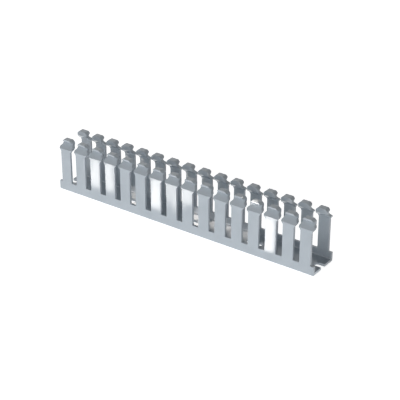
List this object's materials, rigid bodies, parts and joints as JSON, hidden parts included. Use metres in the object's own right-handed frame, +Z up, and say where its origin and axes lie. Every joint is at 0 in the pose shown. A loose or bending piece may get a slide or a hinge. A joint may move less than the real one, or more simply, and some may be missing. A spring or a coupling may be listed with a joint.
{
  "type": "slotted wire duct",
  "caption": "Slotted panel wire duct in rigid PVC: an open U channel with wire slots between flared fingers on both walls and slotted mounting holes in its floor.",
  "frame": {"origin": "centre of the duct's underside", "axes": "+X along the duct, +Y across it from wall to wall, +Z up, out of the channel's open top"},
  "size_m": [0.2, 0.0232, 0.0373],
  "materials": {
    "rigid_pvc": "light blue-grey, satin as extruded"
  },
  "bodies": {
    "root": {"duct_base": "rigid_pvc"}
  },
  "joints": []
}
